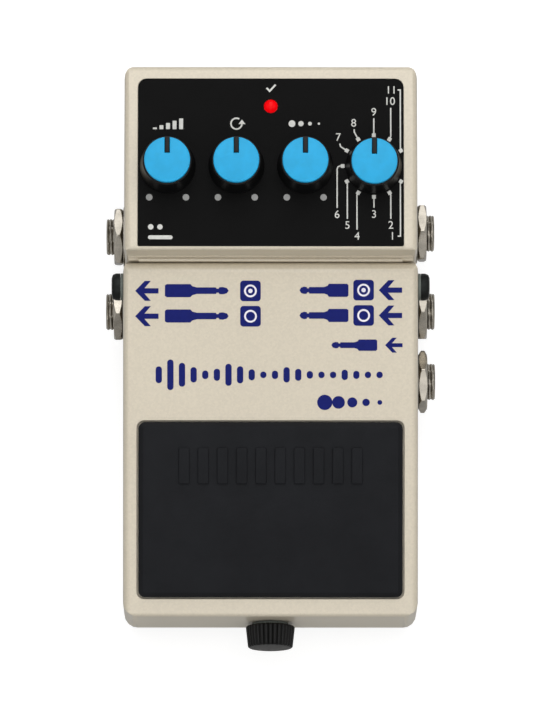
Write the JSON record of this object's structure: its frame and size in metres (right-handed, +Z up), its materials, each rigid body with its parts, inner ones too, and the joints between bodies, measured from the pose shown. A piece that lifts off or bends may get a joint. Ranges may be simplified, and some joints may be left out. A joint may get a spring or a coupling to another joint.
{
  "type": "digital delay pedal",
  "caption": "Compact effects pedal: a hinged treadle with a rubber pad, a sloping control face with turning dials and a lamp, side phone jacks and a front thumbscrew.",
  "frame": {"origin": "middle of the underside of the rubber base, which rests on the floor", "axes": "+X to the right side with three jacks, +Y to the rear with the power socket, +Z up"},
  "size_m": [0.0764, 0.129, 0.0589],
  "materials": {
    "pearl_paint": "cream pearl enamel on die-cast metal, satin",
    "panel_ink": "black satin-printed face plate",
    "pad_rubber": "moulded black rubber pad, fine matt grain",
    "base_rubber": "smooth black rubber base sheet",
    "zinc_steel": "zinc-plated steel",
    "nickel": "bright nickel plate",
    "dark_steel": "black-oxide steel screw",
    "knob_black": "black moulded knob plastic",
    "cap_blue": "bright blue moulded cap",
    "lens_red": "clear red indicator lens",
    "nylon": "grey nylon washers and bush",
    "board_green": "green glass-epoxy circuit board",
    "moulding": "black moulded electrical housings",
    "battery_can": "lacquered metal battery can"
  },
  "bodies": {
    "chassis": {"chassis": "pearl_paint", "base_plate": "zinc_steel", "rubber_base": "base_rubber", "base_screw_1": "zinc_steel", "base_screw_2": "zinc_steel", "base_screw_3": "zinc_steel", "base_screw_4": "zinc_steel", "guide_bush": "nylon", "face_plate": "panel_ink", "indicator_lens": "lens_red", "main_board": "board_green", "knob_board": "board_green", "level_pot": "moulding", "feedback_pot": "moulding", "time_pot": "moulding", "mode_switch": "moulding", "power_socket": "moulding", "left_rear_jack": "nickel", "left_rear_washer": "nickel", "left_rear_nut": "nickel", "left_front_jack": "nickel", "left_front_washer": "nickel", "left_front_nut": "nickel", "right_rear_jack": "nickel", "right_rear_washer": "nickel", "right_rear_nut": "nickel", "right_middle_jack": "nickel", "right_middle_washer": "nickel", "right_middle_nut": "nickel", "right_front_jack": "nickel", "right_front_washer": "nickel", "right_front_nut": "nickel", "left_hinge_screw": "dark_steel", "right_hinge_screw": "dark_steel", "left_hinge_washer": "nylon", "right_hinge_washer": "nylon", "return_spring": "zinc_steel", "foot_switch": "moulding", "battery": "battery_can", "battery_clip": "moulding", "battery_lead": "moulding"},
    "treadle": {"treadle": "pearl_paint", "treadle_pad": "pad_rubber", "switch_pusher": "nylon"},
    "thumbscrew_washer": {"thumbscrew_washer": "nylon"},
    "thumbscrew": {"thumbscrew_head": "knob_black", "thumbscrew_shank": "zinc_steel"},
    "switch_button": {"switch_button": "knob_black"},
    "level_dial": {"level_knob": "knob_black", "level_cap": "cap_blue", "level_shaft": "zinc_steel"},
    "feedback_dial": {"feedback_knob": "knob_black", "feedback_cap": "cap_blue", "feedback_shaft": "zinc_steel"},
    "time_dial": {"time_knob": "knob_black", "time_cap": "cap_blue", "time_shaft": "zinc_steel"},
    "mode_dial": {"mode_knob": "knob_black", "mode_cap": "cap_blue", "mode_shaft": "zinc_steel"}
  },
  "joints": [
    {"name": "treadle_hinge", "type": "hinge", "parent": "chassis", "child": "treadle", "pos_m": [0, 0.013, 0.0356], "axis": [1, 0, 0], "range_deg": [0, 1.6], "stiffness_Nm_per_rad": 2, "springref_deg": -8.59, "deforming": ["return_spring"]},
    {"name": "switch_press", "type": "slide", "parent": "chassis", "child": "switch_button", "axis": [0, 0, -1], "range_m": [0, 0.0006]},
    {"name": "thumbscrew_travel", "type": "slide", "parent": "treadle", "child": "thumbscrew_washer", "axis": [0, -1, 0], "range_m": [0, 0.004]},
    {"name": "thumbscrew_turn", "type": "hinge", "parent": "thumbscrew_washer", "child": "thumbscrew", "pos_m": [0, -0.06175, 0.0148], "axis": [0, -1, 0], "range_deg": [0, 1800]},
    {"name": "level_turn", "type": "hinge", "parent": "chassis", "child": "level_dial", "pos_m": [-0.02355, 0.03815, 0.0496], "axis": [0, -0.0785, 0.9969], "range_deg": [-150, 150]},
    {"name": "feedback_turn", "type": "hinge", "parent": "chassis", "child": "feedback_dial", "pos_m": [-0.00785, 0.03815, 0.0496], "axis": [0, -0.0785, 0.9969], "range_deg": [-150, 150]},
    {"name": "time_turn", "type": "hinge", "parent": "chassis", "child": "time_dial", "pos_m": [0.00785, 0.03815, 0.0496], "axis": [0, -0.0785, 0.9969], "range_deg": [-150, 150]},
    {"name": "mode_turn", "type": "hinge", "parent": "chassis", "child": "mode_dial", "pos_m": [0.02355, 0.03815, 0.0496], "axis": [0, -0.0785, 0.9969], "range_deg": [-60, 240]}
  ],
  "couplings": [
    {"joint": "switch_press", "follows": "treadle_hinge", "m_per_rad": 0.02},
    {"joint": "thumbscrew_turn", "follows": "thumbscrew_travel", "rad_per_m": 7854}
  ]
}
